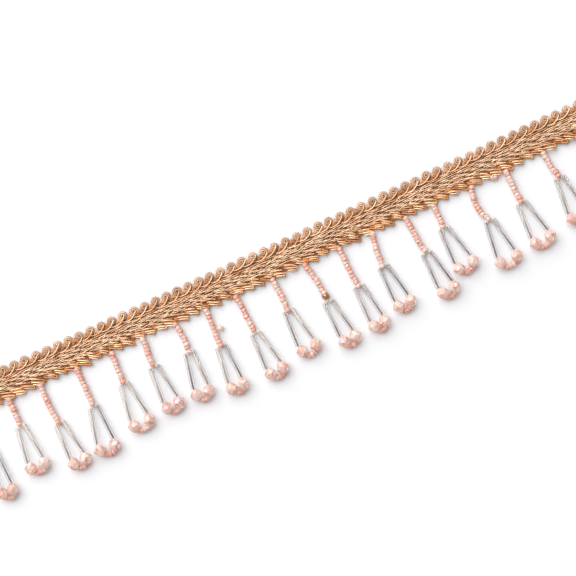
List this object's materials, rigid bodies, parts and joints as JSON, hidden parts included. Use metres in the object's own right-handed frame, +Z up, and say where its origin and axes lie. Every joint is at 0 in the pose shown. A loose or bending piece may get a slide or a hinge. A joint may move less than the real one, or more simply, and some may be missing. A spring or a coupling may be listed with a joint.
{
  "type": "beaded fringe trim",
  "caption": "Straight cut length of beaded fringe trim: a metallic gimp braid heading with drops of seed beads, glass bugle tubes and faceted crystals sewn into its lower edge.",
  "frame": {"origin": "middle of the trim's outline seen from above, on the surface that it lies on", "axes": "+X along the braid, +Y across the braid from the drops to its upper edge, +Z up from the surface"},
  "size_m": [0.24, 0.043, 0.0039],
  "materials": {
    "metallic_gimp": "copper and rose-gold metallic gimp yarn with a soft metallic glint",
    "seed_beads": "pink silver-lined glass, glossy and sparkling",
    "clear_bugles": "clear glass tube, glossy",
    "crystals": "cut peach-pink glass with polished facets",
    "thread": "cream beading thread"
  },
  "bodies": {
    "root": {"braid": "metallic_gimp", "drop_01": "seed_beads", "drop_02": "seed_beads", "drop_03": "seed_beads", "drop_04": "seed_beads", "drop_05": "seed_beads", "drop_06": "seed_beads", "drop_07": "seed_beads", "drop_08": "seed_beads", "drop_09": "seed_beads", "drop_10": "seed_beads", "drop_11": "seed_beads", "drop_12": "seed_beads", "drop_13": "seed_beads", "drop_14": "seed_beads", "drop_15": "seed_beads", "drop_16": "seed_beads", "drop_17": "seed_beads", "drop_18": "seed_beads", "drop_19": "seed_beads", "drop_20": "seed_beads"}
  },
  "joints": []
}
